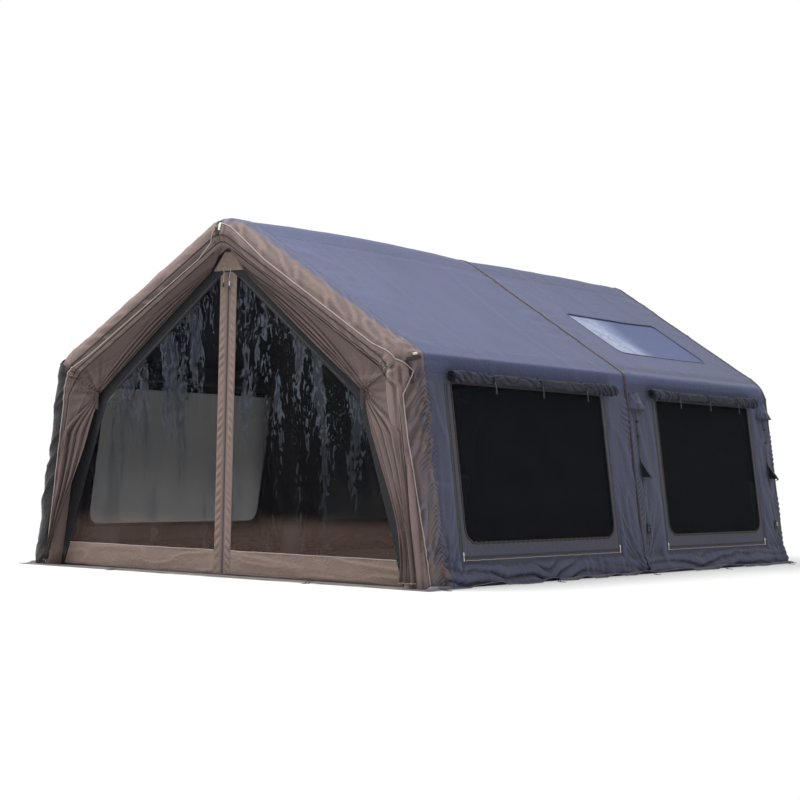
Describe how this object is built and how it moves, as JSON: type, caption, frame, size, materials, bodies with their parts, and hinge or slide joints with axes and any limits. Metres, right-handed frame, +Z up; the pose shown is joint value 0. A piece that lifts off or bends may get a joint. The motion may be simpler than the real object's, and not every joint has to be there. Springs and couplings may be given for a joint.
{
  "type": "inflatable tent",
  "caption": "Two-bay inflatable cottage tent: air arches and beams, zipped clear gable doors with tied curtains, netted side windows with roll-up blinds, roof skylight, ground skirt.",
  "frame": {"origin": "On the ground, below the middle of the tent and of its ground skirt.", "axes": "+Z up; the ridge runs along Y; the door gable faces -Y; the side with the skylight faces +X."},
  "size_m": [3.195, 4.7686, 2.058],
  "materials": {
    "roof_cloth": "woven, matt",
    "wall_cloth": "woven, matt",
    "front_cloth": "woven, matt",
    "hem_cloth": "woven, matt",
    "netting": "fine mesh",
    "clear_film": "clear, soft film",
    "air_tube": "coated, taut",
    "ground_sheet": "coated",
    "skirt_cloth": "coated",
    "webbing": "woven webbing",
    "zip_metal": "satin",
    "valve_plastic": "matt"
  },
  "bodies": {
    "tent": {"apex_gusset": "front_cloth", "arch_beam_front": "air_tube", "arch_beam_middle": "air_tube", "arch_beam_rear": "air_tube", "curtain_left": "front_cloth", "curtain_right": "front_cloth", "curtain_tie_left": "webbing", "curtain_tie_right": "webbing", "door_surround": "hem_cloth", "eave_beam_left_front": "air_tube", "eave_beam_left_rear": "air_tube", "eave_beam_right_front": "air_tube", "eave_beam_right_rear": "air_tube", "front_arch_sleeve": "front_cloth", "ground_skirt": "skirt_cloth", "groundsheet": "ground_sheet", "rear_vent_net": "netting", "rear_wall": "wall_cloth", "ridge_beam_front": "air_tube", "ridge_beam_rear": "air_tube", "ridge_strip_front": "roof_cloth", "ridge_strip_rear": "roof_cloth", "roof_panel_left_front": "roof_cloth", "roof_panel_left_rear": "roof_cloth", "roof_panel_right_front": "roof_cloth", "roof_panel_right_rear": "roof_cloth", "side_wall_left_front": "wall_cloth", "side_wall_left_rear": "wall_cloth", "side_wall_right_front": "wall_cloth", "side_wall_right_rear": "wall_cloth", "skylight": "clear_film", "valve_body": "valve_plastic", "wall_strap_left_middle": "webbing", "wall_strap_left_rear": "webbing", "wall_strap_right_middle": "webbing", "wall_strap_right_rear": "webbing", "window_net_left_front": "netting", "window_net_left_rear": "netting", "window_net_right_front": "netting", "window_net_right_rear": "netting"},
    "door_leaf_right": {"door_border_right": "front_cloth", "door_film_right": "clear_film"},
    "door_leaf_left": {"door_border_left": "front_cloth", "door_film_left": "clear_film"},
    "door_zip_slider": {"door_zip_slider": "zip_metal"},
    "valve_cap": {"valve_cap": "valve_plastic"},
    "valve_poppet": {"valve_poppet": "valve_plastic"},
    "window_blind_right_front": {"window_blind_right_front": "wall_cloth"},
    "window_blind_right_rear": {"window_blind_right_rear": "wall_cloth"},
    "window_blind_left_front": {"window_blind_left_front": "wall_cloth"},
    "window_blind_left_rear": {"window_blind_left_rear": "wall_cloth"},
    "zip_slider_right_front_a": {"zip_slider_right_front_a": "zip_metal"},
    "zip_slider_right_front_b": {"zip_slider_right_front_b": "zip_metal"},
    "zip_slider_right_rear_a": {"zip_slider_right_rear_a": "zip_metal"},
    "zip_slider_right_rear_b": {"zip_slider_right_rear_b": "zip_metal"},
    "zip_slider_left_front_a": {"zip_slider_left_front_a": "zip_metal"},
    "zip_slider_left_front_b": {"zip_slider_left_front_b": "zip_metal"},
    "zip_slider_left_rear_a": {"zip_slider_left_rear_a": "zip_metal"},
    "zip_slider_left_rear_b": {"zip_slider_left_rear_b": "zip_metal"}
  },
  "joints": [
    {"name": "door_leaf_right_hinge", "type": "hinge", "parent": "tent", "child": "door_leaf_right", "pos_m": [1.2902, -2.1997, 0.012], "axis": [-0.3172, 0, 0.9484], "range_deg": [0, 80]},
    {"name": "door_leaf_left_hinge", "type": "hinge", "parent": "tent", "child": "door_leaf_left", "pos_m": [-1.2902, -2.1997, 0.012], "axis": [-0.3172, 0, -0.9484], "range_deg": [0, 80]},
    {"name": "door_zip_slide", "type": "slide", "parent": "door_leaf_right", "child": "door_zip_slider", "axis": [0, 0, -1], "range_m": [0, 1.6]},
    {"name": "blind_drop_right_front", "type": "slide", "parent": "tent", "child": "window_blind_right_front", "axis": [0.1409, 0, -0.99], "range_m": [0, 0.93]},
    {"name": "blind_drop_right_rear", "type": "slide", "parent": "tent", "child": "window_blind_right_rear", "axis": [0.1409, 0, -0.99], "range_m": [0, 0.93]},
    {"name": "blind_drop_left_front", "type": "slide", "parent": "tent", "child": "window_blind_left_front", "axis": [-0.1409, 0, -0.99], "range_m": [0, 0.93]},
    {"name": "blind_drop_left_rear", "type": "slide", "parent": "tent", "child": "window_blind_left_rear", "axis": [-0.1409, 0, -0.99], "range_m": [0, 0.93]},
    {"name": "zip_rise_right_front_a", "type": "slide", "parent": "tent", "child": "zip_slider_right_front_a", "axis": [-0.1409, 0, 0.99], "range_m": [0, 0.9]},
    {"name": "zip_rise_right_front_b", "type": "slide", "parent": "tent", "child": "zip_slider_right_front_b", "axis": [-0.1409, 0, 0.99], "range_m": [0, 0.9]},
    {"name": "zip_rise_right_rear_a", "type": "slide", "parent": "tent", "child": "zip_slider_right_rear_a", "axis": [-0.1409, 0, 0.99], "range_m": [0, 0.9]},
    {"name": "zip_rise_right_rear_b", "type": "slide", "parent": "tent", "child": "zip_slider_right_rear_b", "axis": [-0.1409, 0, 0.99], "range_m": [0, 0.9]},
    {"name": "zip_rise_left_front_a", "type": "slide", "parent": "tent", "child": "zip_slider_left_front_a", "axis": [0.1409, 0, 0.99], "range_m": [0, 0.9]},
    {"name": "zip_rise_left_front_b", "type": "slide", "parent": "tent", "child": "zip_slider_left_front_b", "axis": [0.1409, 0, 0.99], "range_m": [0, 0.9]},
    {"name": "zip_rise_left_rear_a", "type": "slide", "parent": "tent", "child": "zip_slider_left_rear_a", "axis": [0.1409, 0, 0.99], "range_m": [0, 0.9]},
    {"name": "zip_rise_left_rear_b", "type": "slide", "parent": "tent", "child": "zip_slider_left_rear_b", "axis": [0.1409, 0, 0.99], "range_m": [0, 0.9]},
    {"name": "valve_cap_hinge", "type": "hinge", "parent": "tent", "child": "valve_cap", "pos_m": [-1.25314, 0.145, 0.30141], "axis": [0, 1, 0], "range_deg": [0, 150]},
    {"name": "valve_poppet_press", "type": "slide", "parent": "tent", "child": "valve_poppet", "axis": [-0.99, 0, 0.1409], "range_m": [0, 0.005], "stiffness_N_per_m": 100}
  ]
}
